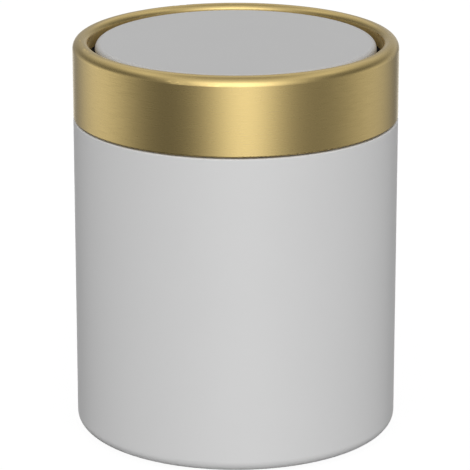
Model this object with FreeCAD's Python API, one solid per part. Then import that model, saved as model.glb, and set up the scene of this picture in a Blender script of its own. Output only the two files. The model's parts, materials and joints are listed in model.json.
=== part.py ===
import FreeCAD, Part
import math
import os
from FreeCAD import Vector

# Countertop swing-lid bin: a drawn steel can, a lift-off collar with a rolled metal rim,
# and a round lid that tips about a left-to-right axis inside the collar.
# Millimetres, +Z up, origin on the counter under the middle of the base, -Y is the front.

# Whole bin
bin_radius = 65.0
body_height = 128.1
collar_height = 31.4
shadow_gap = 0.5
cut_overrun = 2.0
sheet_edge_share = 0.45
point_tolerance = 1e-6
full_turn = 360.0
quarter_turn = 90.0

# Drawn steel can
can_wall = 0.5
can_bend_inside = 0.1
can_lip_height = 4.0
base_corner_radius = 4.3
base_ring_width = 15.0
base_panel_rise = 2.0
base_step_run = 1.5
base_step_bend = 1.0

# Foot pads
pad_count = 4
pad_radius = 5.5
pad_thickness = 1.0
pad_edge_round = 0.3

# Metal sleeve of the collar
sleeve_wall = 0.5
rim_width = 6.4
rim_outer_round = 3.5
rim_flat = 0.4
return_clearance = 0.4
hem_width = 1.7
hem_bend_inside = 0.1

# Moulded frame inside the sleeve
frame_wall = 2.0
frame_setback = 0.2
frame_fit = 0.1
frame_edge_round = 0.4
plug_depth = 10.0
plug_clearance = 0.3
plug_lead_in = 0.8
ledge_thickness = 2.4
ledge_fillet = 0.8
rib_count = 24
rib_thickness = 1.4

# Pivot brackets of the frame, with the stop that ends the lid's swing
swing_limit = 78.0
stop_clearance = 0.3
stop_drop = 8.0
stop_height = 2.5
stop_reach = 4.0
stop_gusset_height = 6.0
bracket_standoff = 1.7
boss_end_clearance = 0.4

# Pivot pins
pin_radius = 1.5
pin_running_clearance = 0.05
pin_grip = 10.0
pin_end_setback = 0.3
pin_end_round = 0.4
pin_end_play = 0.4

# Lid cap
lid_drop = 1.3
lid_gap = 2.6
lid_wall = 1.8
lid_edge_round = 2.4
lid_skirt_depth = 6.0

# Lid tray
axis_below_tray_rim = 2.9
tray_wall = 1.6
tray_depth = 23.0
tray_pan_radius = 31.0
tray_pan_bend = 5.0
tray_brow_bend = 1.2
tray_rim_width = 3.6
tray_rim_setback = 0.3
spigot_height = 2.5
spigot_wall = 1.4
spigot_clearance = 0.1
socket_radius = 4.0
socket_floor = 1.6

# Counterweight in the tray
weight_radius = 19.0
weight_thickness = 5.0
weight_edge_round = 0.6
weight_clearance = 0.3
weight_nest_wall = 1.3
weight_nest_height = 3.0
weight_post_radius = 6.0
weight_post_wall = 1.6
weight_post_gap = 0.1

# Lid screws
screw_count = 4
screw_circle_radius = 25.0
screw_shank_radius = 1.25
screw_length = 9.0
screw_tip_length = 1.2
screw_head_radius = 2.4
screw_head_height = 1.5
screw_head_round = 0.7
screw_hole_clearance = 0.2
screw_drive_width = 0.7
screw_drive_length = 2.8
screw_drive_depth = 0.8
screw_post_radius = 3.0
screw_tip_room = 1.0

# Heights that follow
base_z = pad_thickness
shoulder_z = base_z + body_height
plug_end_z = shoulder_z - plug_depth
ledge_top_z = shoulder_z + ledge_thickness
sleeve_bottom_z = shoulder_z + shadow_gap
hem_top_z = sleeve_bottom_z + sleeve_wall
crown_z = sleeve_bottom_z + collar_height
frame_top_z = crown_z - rim_outer_round
lid_z = crown_z - lid_drop
skirt_end_z = lid_z - lid_skirt_depth
tray_rim_z = skirt_end_z - tray_wall
pivot_z = tray_rim_z - axis_below_tray_rim
tray_bottom_z = lid_z - tray_depth
tray_floor_z = tray_bottom_z + tray_wall
socket_top_z = tray_rim_z + tray_wall / 2
weight_top_z = tray_floor_z + weight_thickness

# Half width of the stop: its upper corners meet the tilted tray rim at the end of the swing
limit_sine = math.sin(math.radians(swing_limit))
limit_cosine = math.cos(math.radians(swing_limit))
bracket_half_width = (axis_below_tray_rim - stop_clearance + stop_drop * limit_cosine) / limit_sine
return_end_z = pivot_z + bracket_half_width + return_clearance

# Radii and stations along the lid's axis that follow
return_radius = bin_radius - rim_width
rim_inner_round = rim_width - rim_outer_round - rim_flat
frame_inner_radius = return_radius + frame_setback
frame_outer_radius = frame_inner_radius + frame_wall
frame_lip_radius = return_radius + sleeve_wall + frame_fit
sleeve_inner_radius = bin_radius - sleeve_wall
rib_reach_radius = sleeve_inner_radius - frame_fit
hem_inner_radius = bin_radius - hem_width
mouth_radius = frame_outer_radius + plug_clearance
base_step_radius = bin_radius - base_corner_radius - base_ring_width
lid_radius = return_radius - lid_gap
lid_bore_radius = lid_radius - lid_wall
tray_rim_radius = lid_radius - tray_rim_setback
tray_brow_radius = tray_rim_radius - tray_rim_width
bracket_face_x = frame_inner_radius - bracket_standoff
boss_end_x = rib_reach_radius - boss_end_clearance
socket_face_x = bracket_face_x - pin_end_play
pin_inner_x = socket_face_x - pin_grip
pin_outer_x = boss_end_x - pin_end_setback

up = Vector(0, 0, 1)
right = Vector(1, 0, 0)
axis_point = Vector(0, 0, 0)


def corner_wire(corners):
    # Closed outline in the XZ plane; each corner is (radius, height, rounding).
    points = [Vector(r, 0, z) for r, z, rounding in corners]
    arrivals, departures, edges = [], [], []
    for i, (r, z, rounding) in enumerate(corners):
        corner = points[i]
        back = (points[i - 1] - corner).normalize()
        ahead = (points[(i + 1) % len(points)] - corner).normalize()
        if rounding == 0:
            arrivals.append(corner)
            departures.append(corner)
            continue
        half_angle = back.getAngle(ahead) / 2
        run = rounding / math.tan(half_angle)
        sagitta = rounding / math.sin(half_angle) - rounding
        middle = corner + (back + ahead).normalize() * sagitta
        arrivals.append(corner + back * run)
        departures.append(corner + ahead * run)
        edges.append(Part.Arc(arrivals[i], middle, departures[i]).toShape())
    for i, departure in enumerate(departures):
        arrival = arrivals[(i + 1) % len(arrivals)]
        if departure.distanceToPoint(arrival) > point_tolerance:
            edges.append(Part.LineSegment(departure, arrival).toShape())
    return Part.Wire(Part.__sortEdges__(edges))


def turned(corners):
    # Solid of revolution about the upright axis.
    return Part.Face(corner_wire(corners)).revolve(axis_point, up, full_turn)


def bent_sheet(path, wall, free_start, free_end):
    # Turned sheet: the path is its outer face, the metal lies to the left of the path,
    # and each corner of the path carries its inside bend radius.
    directions = []
    for (r, z, bend), (next_r, next_z, next_bend) in zip(path, path[1:]):
        directions.append(Vector(next_r - r, 0, next_z - z).normalize())
    normals = [Vector(-d.z, 0, d.x) for d in directions]
    outer, inner = [], []
    for i, (r, z, bend) in enumerate(path):
        before = normals[max(i - 1, 0)]
        after = normals[min(i, len(normals) - 1)]
        shift = (before + after) * (wall / (1 + before.dot(after)))
        left_turn = before.cross(after).y < 0
        outer_bend = bend
        inner_bend = bend
        if 0 < i < len(path) - 1:
            outer_bend = bend + wall if left_turn else bend
            inner_bend = bend if left_turn else bend + wall
        elif (i == 0 and free_start) or (i > 0 and free_end):
            outer_bend = inner_bend = wall * sheet_edge_share
        outer.append((r, z, outer_bend))
        inner.append((r + shift.x, z + shift.z, inner_bend))
    return turned(outer + inner[::-1])


def ring(inner_radius, outer_radius, bottom_z, top_z):
    # Plain upright tube.
    return turned([
        (inner_radius, bottom_z, 0),
        (outer_radius, bottom_z, 0),
        (outer_radius, top_z, 0),
        (inner_radius, top_z, 0),
    ])


def post(radius, bottom_z, top_z, x, y):
    # Upright round bar.
    return Part.makeCylinder(radius, top_z - bottom_z, Vector(x, y, bottom_z), up)


def axle(radius, start_x, end_x):
    # Round bar on the right-hand half of the lid's axis.
    return Part.makeCylinder(radius, end_x - start_x, Vector(start_x, 0, pivot_z), right)


def opposite(shape):
    # The same shape on the left-hand side.
    twin = shape.copy()
    twin.rotate(axis_point, up, full_turn / 2)
    return twin


def screw_places():
    # Plan positions of the lid screws, clear of the pivots.
    step = full_turn / screw_count
    turns = [math.radians(step * (i + 0.5)) for i in range(screw_count)]
    return [(screw_circle_radius * math.cos(t), screw_circle_radius * math.sin(t)) for t in turns]


def make_body_shell():
    # Recessed base panel, rounded bottom edge, straight wall and an in-turned shoulder with a lip.
    panel_z = base_z + base_panel_rise
    return bent_sheet([
        (0, panel_z, 0),
        (base_step_radius - base_step_run, panel_z, base_step_bend),
        (base_step_radius, base_z, base_step_bend),
        (bin_radius, base_z, base_corner_radius - can_wall),
        (bin_radius, shoulder_z, can_bend_inside),
        (mouth_radius, shoulder_z, can_bend_inside),
        (mouth_radius, shoulder_z - can_lip_height, 0),
    ], can_wall, False, True)


def make_foot_pads():
    # Round pads spaced evenly on the flat ring of the base.
    pad = turned([
        (0, 0, 0),
        (pad_radius, 0, pad_edge_round),
        (pad_radius, pad_thickness, 0),
        (0, pad_thickness, 0),
    ])
    pad.translate(Vector(base_step_radius + base_ring_width / 2, 0, 0))
    step = full_turn / pad_count
    pads = []
    for i in range(pad_count):
        placed = pad.copy()
        placed.rotate(axis_point, up, step * (i + 0.5))
        pads.append(placed)
    return pads


def make_collar_sleeve():
    # Hem under the frame, straight band, rolled rim, and the rim's return.
    return bent_sheet([
        (hem_inner_radius, sleeve_bottom_z, 0),
        (bin_radius, sleeve_bottom_z, hem_bend_inside),
        (bin_radius, crown_z, rim_outer_round - sleeve_wall),
        (return_radius, crown_z, rim_inner_round - sleeve_wall),
        (return_radius, return_end_z, 0),
    ], sleeve_wall, True, True)


def make_frame_ring():
    # Plug, ledge on the can's shoulder, rebate for the hem, and a lip behind the rim's return.
    seat_radius = hem_inner_radius - frame_fit
    rebate_z = hem_top_z + frame_fit
    step_z = return_end_z - frame_fit
    return turned([
        (frame_inner_radius, plug_end_z, frame_edge_round),
        (frame_outer_radius, plug_end_z, plug_lead_in),
        (frame_outer_radius, shoulder_z, 0),
        (seat_radius, shoulder_z, 0),
        (seat_radius, rebate_z, 0),
        (rib_reach_radius, rebate_z, 0),
        (rib_reach_radius, ledge_top_z, frame_edge_round),
        (frame_outer_radius, ledge_top_z, ledge_fillet),
        (frame_outer_radius, frame_top_z, frame_edge_round),
        (frame_lip_radius, frame_top_z, frame_edge_round),
        (frame_lip_radius, step_z, 0),
        (frame_inner_radius, step_z, 0),
    ])


def make_frame_ribs():
    # Upright ribs on the outside of the frame that carry the sleeve.
    root_radius = frame_outer_radius - frame_wall / 2
    blank = Part.makeBox(
        bin_radius - root_radius,
        rib_thickness,
        frame_top_z - shoulder_z - ledge_thickness / 2,
        Vector(root_radius, -rib_thickness / 2, shoulder_z + ledge_thickness / 2),
    )
    rib = blank.common(ring(root_radius, rib_reach_radius, shoulder_z, crown_z))
    step = full_turn / rib_count
    ribs = []
    for i in range(rib_count):
        placed = rib.copy()
        placed.rotate(axis_point, up, step * (i + 0.5))
        ribs.append(placed)
    return ribs


def make_pivot_bracket():
    # Round-headed plate behind the lid's socket with a shelf below it that stops the swing.
    wall_x = frame_inner_radius + frame_wall / 2
    shelf_z = pivot_z - stop_drop
    shelf_x = bracket_face_x - stop_reach
    side = corner_wire([
        (bracket_face_x, return_end_z, 0),
        (bracket_face_x, shelf_z, frame_edge_round),
        (shelf_x, shelf_z, frame_edge_round),
        (shelf_x, shelf_z - stop_height, frame_edge_round),
        (wall_x, shelf_z - stop_height - stop_gusset_height, 0),
        (wall_x, return_end_z, 0),
    ])
    side.translate(Vector(0, -bracket_half_width, 0))
    plate = Part.Face(side).extrude(Vector(0, 2 * bracket_half_width, 0))
    head = axle(bracket_half_width, shelf_x, wall_x)
    below = Part.makeBox(
        wall_x - shelf_x,
        2 * bracket_half_width,
        pivot_z - plug_end_z,
        Vector(shelf_x, -bracket_half_width, plug_end_z),
    )
    boss = axle(bracket_half_width, wall_x, boss_end_x)
    return plate.common(head.fuse(below)).fuse(boss)


def make_collar_frame():
    # Ring, ribs and the two pivot brackets as one moulding, bored for the pins.
    bracket = make_pivot_bracket()
    bore = axle(
        pin_radius + pin_running_clearance,
        bracket_face_x - cut_overrun,
        boss_end_x + cut_overrun,
    )
    frame = make_frame_ring().multiFuse(make_frame_ribs() + [bracket, opposite(bracket)])
    return frame.cut([bore, opposite(bore)]).removeSplitter()


def make_pivot_pin():
    # Plain pin with rounded ends: pressed into the lid, free to turn in the frame.
    length = pin_outer_x - pin_inner_x
    pin = turned([
        (0, 0, 0),
        (pin_radius, 0, pin_end_round),
        (pin_radius, length, pin_end_round),
        (0, length, 0),
    ])
    pin.rotate(axis_point, Vector(0, 1, 0), quarter_turn)
    pin.translate(Vector(pin_inner_x, 0, pivot_z))
    return pin


def make_lid_cap():
    # Flat top with a rounded edge and a short skirt, screw posts and the post over the weight.
    cap = bent_sheet([
        (lid_radius, skirt_end_z, 0),
        (lid_radius, lid_z, max(lid_edge_round - lid_wall, 0)),
        (0, lid_z, 0),
    ], lid_wall, False, False)
    root_z = lid_z - lid_wall / 2
    posts = [ring(
        weight_post_radius - weight_post_wall,
        weight_post_radius,
        weight_top_z + weight_post_gap,
        root_z,
    )]
    pilots = []
    for x, y in screw_places():
        posts.append(post(screw_post_radius, tray_floor_z, root_z, x, y))
        tip_z = tray_bottom_z + screw_length + screw_tip_room
        pilots.append(post(screw_shank_radius, tray_floor_z - cut_overrun, tip_z, x, y))
    return cap.multiFuse(posts).cut(pilots).removeSplitter()


def make_pin_socket():
    # Round-bottomed block under the tray's rim, square to the lid's axis.
    side = corner_wire([
        (socket_radius, socket_top_z, 0),
        (socket_radius, pivot_z - socket_radius, socket_radius),
        (-socket_radius, pivot_z - socket_radius, socket_radius),
        (-socket_radius, socket_top_z, 0),
    ])
    side.rotate(axis_point, up, quarter_turn)
    start_x = pin_inner_x - socket_floor
    side.translate(Vector(start_x, 0, 0))
    return Part.Face(side).extrude(Vector(socket_face_x - start_x, 0, 0))


def make_lid_tray():
    # Dished underside with a rim under the cap's skirt, a spigot inside it and two pin sockets.
    tray = bent_sheet([
        (0, tray_bottom_z, 0),
        (tray_pan_radius, tray_bottom_z, tray_pan_bend),
        (tray_brow_radius, tray_rim_z, tray_brow_bend),
        (tray_rim_radius, tray_rim_z, 0),
    ], tray_wall, False, False)
    spigot_radius = lid_bore_radius - spigot_clearance
    spigot = ring(
        spigot_radius - spigot_wall,
        spigot_radius,
        tray_rim_z + tray_wall / 2,
        skirt_end_z + spigot_height,
    )
    nest_radius = weight_radius + weight_clearance
    nest = ring(
        nest_radius,
        nest_radius + weight_nest_wall,
        tray_bottom_z + tray_wall / 2,
        tray_floor_z + weight_nest_height,
    )
    socket = make_pin_socket()
    bore = axle(pin_radius, pin_inner_x, socket_face_x + cut_overrun)
    holes = [bore, opposite(bore)]
    for x, y in screw_places():
        hole_radius = screw_shank_radius + screw_hole_clearance
        holes.append(post(hole_radius, tray_bottom_z - cut_overrun, tray_floor_z + cut_overrun, x, y))
    return tray.multiFuse([spigot, nest, socket, opposite(socket)]).cut(holes).removeSplitter()


def make_counterweight():
    # Turned steel disc that lies in the tray's nest, below the lid's axis.
    return turned([
        (0, tray_floor_z, 0),
        (weight_radius, tray_floor_z, weight_edge_round),
        (weight_radius, weight_top_z, weight_edge_round),
        (0, weight_top_z, 0),
    ])


def make_lid_screws():
    # Round-headed screws with a cross slot, up through the tray into the cap's posts.
    tip_z = screw_length - screw_tip_length
    screw = turned([
        (0, -screw_head_height, 0),
        (screw_head_radius, -screw_head_height, screw_head_round),
        (screw_head_radius, 0, 0),
        (screw_shank_radius, 0, 0),
        (screw_shank_radius, tip_z, 0),
        (0, screw_length, 0),
    ])
    slot = Part.makeBox(
        screw_drive_length,
        screw_drive_width,
        screw_drive_depth + cut_overrun,
        Vector(-screw_drive_length / 2, -screw_drive_width / 2, -screw_head_height - cut_overrun),
    )
    crossing = slot.copy()
    crossing.rotate(axis_point, up, quarter_turn)
    screw = screw.cut([slot, crossing])
    screws = []
    for x, y in screw_places():
        placed = screw.copy()
        placed.translate(Vector(x, y, tray_bottom_z))
        screws.append(placed)
    return Part.makeCompound(screws)


pin_right = make_pivot_pin()
nodes = {
    "body_shell": make_body_shell(),
    "collar_sleeve": make_collar_sleeve(),
    "collar_frame": make_collar_frame(),
    "lid_cap": make_lid_cap(),
    "lid_tray": make_lid_tray(),
    "counterweight": make_counterweight(),
    "lid_screws": make_lid_screws(),
    "pivot_pin_right": pin_right,
    "pivot_pin_left": opposite(pin_right),
}
for number, pad in enumerate(make_foot_pads(), 1):
    nodes["foot_pad_" + str(number)] = pad

os.makedirs("parts", exist_ok=True)
for name, shape in nodes.items():
    shape.exportStep("parts/" + name + ".step")
    print(name, "solids", len(shape.Solids), "valid", shape.isValid(), "volume", round(shape.Volume, 1))
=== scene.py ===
import json
import math

import bmesh
import bpy
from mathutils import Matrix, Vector


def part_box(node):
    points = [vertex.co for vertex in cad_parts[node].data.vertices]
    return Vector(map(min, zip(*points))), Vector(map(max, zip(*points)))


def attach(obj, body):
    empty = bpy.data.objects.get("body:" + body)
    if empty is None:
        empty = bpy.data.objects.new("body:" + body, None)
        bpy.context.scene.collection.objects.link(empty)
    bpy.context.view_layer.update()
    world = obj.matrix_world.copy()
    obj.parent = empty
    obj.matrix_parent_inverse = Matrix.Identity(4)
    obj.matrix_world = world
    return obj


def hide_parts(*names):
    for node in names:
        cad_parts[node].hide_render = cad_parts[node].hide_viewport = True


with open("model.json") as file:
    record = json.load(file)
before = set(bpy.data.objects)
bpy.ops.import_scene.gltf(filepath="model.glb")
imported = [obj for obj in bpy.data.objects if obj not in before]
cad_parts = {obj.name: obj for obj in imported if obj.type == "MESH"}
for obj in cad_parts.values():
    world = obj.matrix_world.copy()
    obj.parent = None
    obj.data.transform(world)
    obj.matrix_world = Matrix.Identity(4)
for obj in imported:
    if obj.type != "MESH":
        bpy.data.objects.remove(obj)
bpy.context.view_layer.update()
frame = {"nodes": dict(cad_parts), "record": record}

print("frame loaded:", len(frame["nodes"]), "pieces")


# Sums on sockets, so that a finish reads as plain arithmetic
class Wire:
    def __init__(self, tree, socket):
        self.tree = tree
        self.socket = socket

    def math(self, operation, first, second):
        node = self.tree.nodes.new("ShaderNodeMath")
        node.operation = operation
        plug(self.tree, node.inputs[0], first)
        plug(self.tree, node.inputs[1], second)
        return Wire(self.tree, node.outputs[0])

    def __add__(self, other):
        return self.math("ADD", self, other)

    def __radd__(self, other):
        return self.math("ADD", other, self)

    def __sub__(self, other):
        return self.math("SUBTRACT", self, other)

    def __rsub__(self, other):
        return self.math("SUBTRACT", other, self)

    def __mul__(self, other):
        return self.math("MULTIPLY", self, other)

    def __rmul__(self, other):
        return self.math("MULTIPLY", other, self)

    def __truediv__(self, other):
        return self.math("DIVIDE", self, other)

    def __rtruediv__(self, other):
        return self.math("DIVIDE", other, self)

    def __pow__(self, other):
        return self.math("POWER", self, other)

    def __rpow__(self, other):
        return self.math("POWER", other, self)


def plug(tree, socket, value):
    if isinstance(value, Wire):
        tree.links.new(value.socket, socket)
    else:
        socket.default_value = value


class Graph:
    def __init__(self, tree):
        self.tree = tree
        tree.nodes.clear()

    def add(self, kind, settings=None, sockets=None, out=0):
        node = self.tree.nodes.new(kind)
        for name, value in (settings or {}).items():
            setattr(node, name, value)
        for name, value in (sockets or {}).items():
            plug(self.tree, node.inputs[name], value)
        return Wire(self.tree, node.outputs[out]) if len(node.outputs) else None

    def place(self):  # metres from the bin's origin, the same on every piece
        return self.add("ShaderNodeTexCoord", out="Object")

    def parts(self, vector):
        node = self.add("ShaderNodeSeparateXYZ", None, {0: vector}).socket.node
        return [Wire(self.tree, output) for output in node.outputs]

    def noise(self, vector, scale, detail, dimensions="3D", **extra):
        sockets = {"Vector": vector, "Scale": scale, "Detail": detail, **extra}
        return self.add("ShaderNodeTexNoise", {"noise_dimensions": dimensions}, sockets, "Fac")

    def ramp(self, value, ends, settings=None):  # 0 at the first end, 1 at the second
        start, end = ends
        return self.add("ShaderNodeMapRange", settings, {0: value, 1: start, 2: end})

    def tint(self, factor, dark, light):  # from one colour to another
        colours = {0: factor, 6: (*dark, 1), 7: (*light, 1)}
        return self.add("ShaderNodeMix", {"data_type": "RGBA"}, colours, 2)

    def bump(self, height, strength, distance):
        sockets = {"Height": height, "Strength": strength, "Distance": distance}
        return self.add("ShaderNodeBump", None, sockets)


def finish(name, paint):
    material = bpy.data.materials.new(name)
    material.use_nodes = True
    graph = Graph(material.node_tree)
    shader = paint(graph)
    graph.add("ShaderNodeOutputMaterial", None, {"Surface": shader})
    return material


def shared(first, second, share):  # the first's share, and the rest from the second
    return first * share + second * (1 - share)


def between(ends, factor):
    low, high = ends
    return low + (high - low) * factor


def fromAxis(x, y):
    return (x * x + y * y) ** 0.5


# Painted can
canPaint = {
    "thin": (0.85, 0.85, 0.85),  # where the powder lies thin
    "thick": (0.89, 0.89, 0.89),
    "roughness": (0.34, 0.44),
    "ior": 1.5,
    "cloud": (34.0, 3.0),  # noise per metre and its detail, as in the next two
    "peel": (620.0, 1.0),  # orange peel of the powder coat
    "speck": (3400.0, 2.0),
    "cloudInColour": 0.6,  # share of the cloud, the rest is speck
    "cloudInRoughness": 0.5,
    "peelInRelief": 0.7,
    "peelDepth": 0.00006,
    "relief": 0.35,
}


def powderCoat(graph):
    place = graph.place()
    cloud = graph.noise(place, *canPaint["cloud"])
    peel = graph.noise(place, *canPaint["peel"])
    speck = graph.noise(place, *canPaint["speck"])
    colour = shared(cloud, speck, canPaint["cloudInColour"])
    sheen = shared(cloud, speck, canPaint["cloudInRoughness"])
    height = shared(peel, speck, canPaint["peelInRelief"])
    return graph.add("ShaderNodeBsdfPrincipled", None, {
        "Base Color": graph.tint(colour, canPaint["thin"], canPaint["thick"]),
        "Roughness": between(canPaint["roughness"], sheen),
        "IOR": canPaint["ior"],
        "Normal": graph.bump(height, canPaint["relief"], canPaint["peelDepth"]),
    })


# Brushed collar
collarMetal = {
    "low": (0.725, 0.552, 0.233),  # bottom of a brush stroke
    "high": (0.795, 0.606, 0.257),
    "roughness": (0.285, 0.235),  # at the bottom and at the top of a stroke
    "anisotropy": 0.75,
    "anisotropyTurn": 0.25,  # strokes spread the light across themselves, up and down
    "strokesRound": 11.0,  # how often a stroke breaks along the turn
    "strokesAcross": (9000.0, 2600.0),  # fine and broad strokes per metre
    "strokeDetail": 2.0,
    "fineShare": 0.55,
    "strokeEnds": (0.3, 0.7),  # noise at the bottom and at the top of a stroke
    "strokeDepth": 0.000004,
    "relief": 0.11,
    "insideRadius": (0.0601, 0.0588),  # where bare sheet starts inside the rim, and where it is full
    "insideHeight": (0.1592, 0.1584),
    "insideRoughness": 0.30,  # how much rougher than the brushing the bare sheet is
}


def brushStrokes(graph, x, y, z, radius):  # they run round the bin's axis
    around = collarMetal["strokesRound"] / radius
    grain = []
    for across in collarMetal["strokesAcross"]:
        stretched = {0: x * around, 1: y * around, 2: z * across}
        vector = graph.add("ShaderNodeCombineXYZ", None, stretched)
        detail = collarMetal["strokeDetail"]
        grain.append(graph.noise(vector, 1.0, detail, "4D", W=radius * across))
    return graph.ramp(shared(*grain, collarMetal["fineShare"]), collarMetal["strokeEnds"])


def brushedBrass(graph):
    x, y, z = graph.parts(graph.place())
    radius = fromAxis(x, y)
    stroke = brushStrokes(graph, x, y, z, radius)
    inside = graph.ramp(radius, collarMetal["insideRadius"])
    inside = inside * graph.ramp(z, collarMetal["insideHeight"])
    brushed = between(collarMetal["roughness"], stroke)
    return graph.add("ShaderNodeBsdfPrincipled", None, {
        "Base Color": graph.tint(stroke, collarMetal["low"], collarMetal["high"]),
        "Metallic": 1.0,
        "Roughness": brushed + collarMetal["insideRoughness"] * inside,
        "Anisotropic": collarMetal["anisotropy"],
        "Anisotropic Rotation": collarMetal["anisotropyTurn"],
        "Normal": graph.bump(stroke, collarMetal["relief"], collarMetal["strokeDepth"]),
    })


# Moulded pieces
moulding = {  # what they all share
    "ior": 1.49,
    "cloud": (28.0, 3.0),  # noise per metre and its detail
    "grainDetail": 2.0,
    "cloudInColour": 0.7,
    "relief": 0.3,
}
lidSatin = {
    "dark": (0.73, 0.73, 0.73),
    "light": (0.765, 0.765, 0.765),
    "roughness": (0.42, 0.54),
    "grainPerMetre": 2600.0,
    "grainDepth": 0.00004,
}
innerMoulding = {
    "dark": (0.070, 0.070, 0.071),
    "light": (0.088, 0.088, 0.089),
    "roughness": (0.45, 0.62),
    "grainPerMetre": 3000.0,
    "grainDepth": 0.00005,
}
padRubber = {
    "dark": (0.018, 0.018, 0.018),
    "light": (0.035, 0.035, 0.034),
    "roughness": (0.72, 0.9),
    "grainPerMetre": 1800.0,
    "grainDepth": 0.00012,
}


def moulded(look):
    def paint(graph):
        place = graph.place()
        cloud = graph.noise(place, *moulding["cloud"])
        grain = graph.noise(place, look["grainPerMetre"], moulding["grainDetail"])
        colour = shared(cloud, grain, moulding["cloudInColour"])
        return graph.add("ShaderNodeBsdfPrincipled", None, {
            "Base Color": graph.tint(colour, look["dark"], look["light"]),
            "Roughness": between(look["roughness"], grain),
            "IOR": moulding["ior"],
            "Normal": graph.bump(grain, moulding["relief"], look["grainDepth"]),
        })
    return paint


# Bare steel of the weight, pins and screws
bareSteel = {
    "low": (0.36, 0.355, 0.35),
    "high": (0.58, 0.575, 0.565),
    "roughness": (0.25, 0.45),
    "lines": (4200.0, 2.0),  # turning marks: noise per metre and its detail
    "patches": (160.0, 4.0),
    "linesInColour": 0.5,
    "lineDepth": 0.00001,
    "relief": 0.2,
}


def turnedSteel(graph):
    x, y, z = graph.parts(graph.place())
    turned = graph.add("ShaderNodeCombineXYZ", None, {0: fromAxis(x, y), 1: z})
    lines = graph.noise(turned, *bareSteel["lines"])
    patches = graph.noise(graph.place(), *bareSteel["patches"])
    colour = shared(lines, patches, bareSteel["linesInColour"])
    return graph.add("ShaderNodeBsdfPrincipled", None, {
        "Base Color": graph.tint(colour, bareSteel["low"], bareSteel["high"]),
        "Metallic": 1.0,
        "Roughness": between(bareSteel["roughness"], patches),
        "Normal": graph.bump(lines, bareSteel["relief"], bareSteel["lineDepth"]),
    })


finishes = {
    "can_paint": finish("satinPowderCoat", powderCoat),
    "collar_metal": finish("brushedBrassTone", brushedBrass),
    "lid_plastic": finish("lidSatin", moulded(lidSatin)),
    "frame_plastic": finish("frameMoulding", moulded(innerMoulding)),
    "tray_plastic": finish("trayMoulding", moulded(innerMoulding)),
    "bare_steel": finish("turnedSteel", turnedSteel),
    "pad_rubber": finish("padRubber", moulded(padRubber)),
}
for piece in frame["record"]["subparts"]:
    mesh = frame["nodes"][piece["node"]].data
    mesh.materials.clear()
    mesh.materials.append(finishes[piece["material_slot"]])
print("finishes:", ", ".join(sorted(finishes)))


# Pan-head screws under the lid, with a cross recess and a thread; they stand for the plain solids
screwLook = {
    "headRadius": 0.0024,
    "headHeight": 0.0015,
    "headEdge": 0.0007,  # rounding at the head's edge
    "headDome": 0.00015,
    "recessReach": 0.0015,  # from the middle to the end of an arm
    "recessHalfWidth": 0.00036,
    "recessDepth": 0.0009,
    "sideFrom": 1.25,  # half widths out, where the recess's side wall starts
    "sideRun": 0.5,
    "endFrom": 1.1,  # reaches out, where its end wall starts
    "endRun": 0.2,
    "armRise": 0.55,  # share of the depth that an arm loses on its way out
    "crestRadius": 0.00125,
    "rootRadius": 0.00098,
    "pitch": 0.0011,
    "ridgeHalf": 0.32,  # half width of the thread's ridge, as a share of the pitch
    "tipLength": 0.0012,
    "around": 96,
    "headRings": 22,
    "stepsPerTurn": 10,
    "sharpAngle": 40.0,
}


def clamped(value):
    return min(max(value, 0.0), 1.0)


def headFace(x, y):  # how far the head's face stands below its seat
    look = screwLook
    radius = math.hypot(x, y)
    past = min(max(radius - look["headRadius"] + look["headEdge"], 0.0), look["headEdge"])
    fall = look["headEdge"] - math.sqrt(look["headEdge"] ** 2 - past ** 2)
    stands = look["headHeight"] - fall - look["headDome"] * (radius / look["headRadius"]) ** 2
    along = max(abs(x), abs(y)) / look["recessReach"]
    aside = min(abs(x), abs(y)) / look["recessHalfWidth"]
    sideWall = clamped((look["sideFrom"] - aside) / look["sideRun"])
    endWall = clamped((look["endFrom"] - along) / look["endRun"])
    arm = 1 - look["armRise"] * min(along, 1.0)
    return stands - look["recessDepth"] * sideWall * endWall * arm


def threadRadius(turn, up, length):  # ridge that climbs one pitch a turn and runs out at the point
    look = screwLook
    phase = (up / look["pitch"] - turn) % 1.0
    ridge = max(1 - abs(phase - 0.5) / look["ridgeHalf"], 0.0)  # highest half way up the pitch
    radius = look["rootRadius"] + (look["crestRadius"] - look["rootRadius"]) * ridge
    return radius * min((length - up) / look["tipLength"], 1.0)


def onCircle(radius, turn):
    return radius * math.cos(math.tau * turn), radius * math.sin(math.tau * turn)


def screwRings(length):  # from the middle of the recess, over the head and up to the point
    look = screwLook
    turns = [i / look["around"] for i in range(look["around"])]
    rows = []
    for i in range(1, look["headRings"] + 1):
        ring = [onCircle(look["headRadius"] * i / look["headRings"], turn) for turn in turns]
        rows.append([(x, y, -headFace(x, y)) for x, y in ring])
    rows.append([(x, y, 0.0) for x, y, z in rows[-1]])
    steps = int(length / look["pitch"] * look["stepsPerTurn"])
    for i in range(steps):
        up = length * i / steps
        rows.append([(*onCircle(threadRadius(turn, up, length), turn), up) for turn in turns])
    return rows


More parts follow.
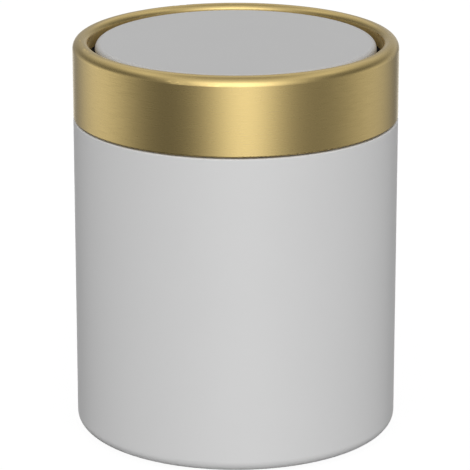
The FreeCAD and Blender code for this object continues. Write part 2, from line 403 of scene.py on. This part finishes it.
def makeScrews():
    look = screwLook
    low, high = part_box("lid_screws")
    seat = low[2] + look["headHeight"]
    length = high[2] - seat
    rows = screwRings(length)
    build = bmesh.new()
    for sideX in (-1, 1):
        for sideY in (-1, 1):
            x = (high[0] - look["headRadius"]) * sideX
            y = (high[1] - look["headRadius"]) * sideY
            place = Vector((x, y, seat))
            rings = [[build.verts.new(place + Vector(p)) for p in row] for row in rows]
            recess = build.verts.new(place + Vector((0, 0, -headFace(0, 0))))
            point = build.verts.new(place + Vector((0, 0, length)))
            for i in range(look["around"]):
                j = (i + 1) % look["around"]
                build.faces.new((recess, rings[0][j], rings[0][i]))
                build.faces.new((point, rings[-1][i], rings[-1][j]))
                for a, b in zip(rings, rings[1:]):
                    build.faces.new((a[i], a[j], b[j], b[i]))
    bmesh.ops.recalc_face_normals(build, faces=build.faces)
    mesh = bpy.data.meshes.new("lidScrews")
    build.to_mesh(mesh)
    build.free()
    mesh.shade_smooth()
    mesh.set_sharp_from_angle(angle=math.radians(look["sharpAngle"]))
    mesh.materials.append(finishes["bare_steel"])
    screws = bpy.data.objects.new("lidScrews", mesh)
    bpy.context.scene.collection.objects.link(screws)
    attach(screws, "swing_lid")
    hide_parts("lid_screws")
    print("screws:", len(mesh.polygons), "faces")


makeScrews()


# Pale floor: the bin's contact shadow is painted into its glow colour from ambient occlusion, and it
# throws no light back at it
floorLook = {
    "reach": 5.0,
    "segments": 8,
    "white": (0.90, 0.90, 0.90),
    "cloud": (3.0, 2.0),  # noise per metre and its detail
    "glow": 0.86,  # share of the floor's white that comes from below, as on a light table
    "glowDrift": 0.02,  # how much the cloud adds to that share
    "glowLevel": 1.08,
    "shadowReach": 0.0012,  # how near the bin has to be to shade the floor
    "shadowFrom": (0.34, 0.52),  # open share of the sky in full shade and in none
    "shadowSamples": 8,
    # colour of the painted contact shadow in the floor's glow
    "shade": (0.10, 0.10, 0.10),
    "clear": (1.0, 1.0, 1.0),
}


def paleFloor(graph):
    cloud = graph.noise(graph.place(), *floorLook["cloud"])
    lit = graph.add("ShaderNodeBsdfDiffuse", None, {"Color": (*floorLook["white"], 1)})
    samples = {"samples": floorLook["shadowSamples"]}
    reach = {"Distance": floorLook["shadowReach"]}
    # painted contact shadow: ambient occlusion darkens the floor's glow colour near the bin; it is
    # not a cast shadow
    sky = graph.add("ShaderNodeAmbientOcclusion", samples, reach, "AO")
    paintedShadowMask = graph.ramp(sky, floorLook["shadowFrom"])
    white = graph.tint(paintedShadowMask, floorLook["shade"], floorLook["clear"])
    light = {"Color": white, "Strength": floorLook["glowLevel"]}
    glow = graph.add("ShaderNodeEmission", None, light)
    share = floorLook["glow"] + cloud * floorLook["glowDrift"]
    return graph.add("ShaderNodeMixShader", None, {0: share, 1: lit, 2: glow})


def makeFloor():
    mesh = bpy.data.meshes.new("floor")
    build = bmesh.new()
    segments = floorLook["segments"]
    bmesh.ops.create_grid(build, x_segments=segments, y_segments=segments, size=floorLook["reach"])
    build.to_mesh(mesh)
    build.free()
    floor = bpy.data.objects.new("floor", mesh)
    bpy.context.scene.collection.objects.link(floor)
    mesh.materials.append(finish("paleFloor", paleFloor))
    floor.visible_diffuse = False
    floor.visible_glossy = False
    floor.visible_shadow = False


# Studio light: soft boxes round the bin; azimuth 0 is the camera's side, 90 is the bin's right
studio = {
    "overhead": 0.27,
    "tabletop": 0.10,  # white from below, which the hem's lower edge picks up
    "tabletopFrom": 0.75,  # how far down (sine) the tabletop begins
    "poleGuard": 0.0001,  # keeps straight up and down from dividing by zero
    "softBoxes": [  # azimuth, half width at half level, height (sine), spread of height, level
        (0.0, 60.0, 0.80, 0.22, 0.56),  # front, high
        (-102.0, 38.0, 0.80, 0.14, 0.48),  # both sides, high, for the rim
        (102.0, 38.0, 0.80, 0.14, 0.48),
        (0.0, 32.0, 0.45, 0.20, 1.92),  # front, for the rim's bright line and the can
        (3.0, 32.0, 0.13, 0.20, 1.72),
        (6.0, 21.0, -0.08, 0.16, 1.55),  # front, low, for the collar's bright middle
        (8.0, 18.0, -0.45, 0.25, 0.48),
        (-107.0, 32.0, -0.17, 0.22, 1.00),  # both sides, low, for the collar's side bands
        (110.0, 30.0, -0.17, 0.22, 0.70),
        (57.0, 36.0, -0.29, 0.22, 0.20),  # faint fill between the bands
        (-48.0, 26.0, -0.29, 0.22, 0.04),
        (180.0, 45.0, 0.55, 0.25, 0.58),  # behind, for the rim's far side
        (165.0, 40.0, 0.10, 0.18, 0.42),
        (180.0, 11.0, -0.35, 0.22, 2.50),  # behind, low, for the bin's back
    ],
}


def studioWorld():
    world = bpy.data.worlds.new("studio")
    bpy.context.scene.world = world
    world.use_nodes = True
    graph = Graph(world.node_tree)
    x, y, z = graph.parts(graph.add("ShaderNodeTexCoord", out="Generated"))
    flat = fromAxis(x, y) + studio["poleGuard"]
    smooth = {"interpolation_type": "SMOOTHSTEP"}
    underside = graph.ramp(-1 * z, (studio["tabletopFrom"], 1.0), smooth)
    light = studio["overhead"] * z.math("MAXIMUM", z, 0.0) + studio["tabletop"] * underside
    for azimuth, halfWidth, height, spread, level in studio["softBoxes"]:
        turn = math.radians(azimuth)
        facing = (x * math.sin(turn) - y * math.cos(turn)) / flat
        tightness = math.log(2) / (1 - math.cos(math.radians(halfWidth)))
        band = (z - height) / spread
        light = light + level * math.e ** ((facing - 1) * tightness - band * band)
    glow = graph.add("ShaderNodeBackground", None, {"Color": light})
    graph.add("ShaderNodeOutputWorld", None, {"Surface": glow})


# Camera, worked out from the ellipses of the rim, lid and base
cameraSetup = {
    "lens": 235.34,
    "sensor": 36.0,
    "pitch": 17.28,  # degrees down
    "distance": 1.2464,
    "aimHeight": 0.0788,
    "sidestep": -0.0003,  # the bin stands a hair right of the middle
    "clipEnd": 20.0,
}


def makeCamera():
    camera = bpy.data.objects.new("camera", bpy.data.cameras.new("camera"))
    bpy.context.scene.collection.objects.link(camera)
    camera.data.lens = cameraSetup["lens"]
    camera.data.sensor_width = cameraSetup["sensor"]
    camera.data.clip_end = cameraSetup["clipEnd"]
    pitch = math.radians(cameraSetup["pitch"])
    back = Vector((0, -math.cos(pitch), math.sin(pitch))) * cameraSetup["distance"]
    camera.location = Vector((cameraSetup["sidestep"], 0, cameraSetup["aimHeight"])) + back
    camera.rotation_euler = (math.pi / 2 - pitch, 0, 0)
    bpy.context.scene.camera = camera


makeFloor()
studioWorld()
makeCamera()
bpy.context.scene.view_settings.view_transform = "Standard"
print("stage, light and camera set")
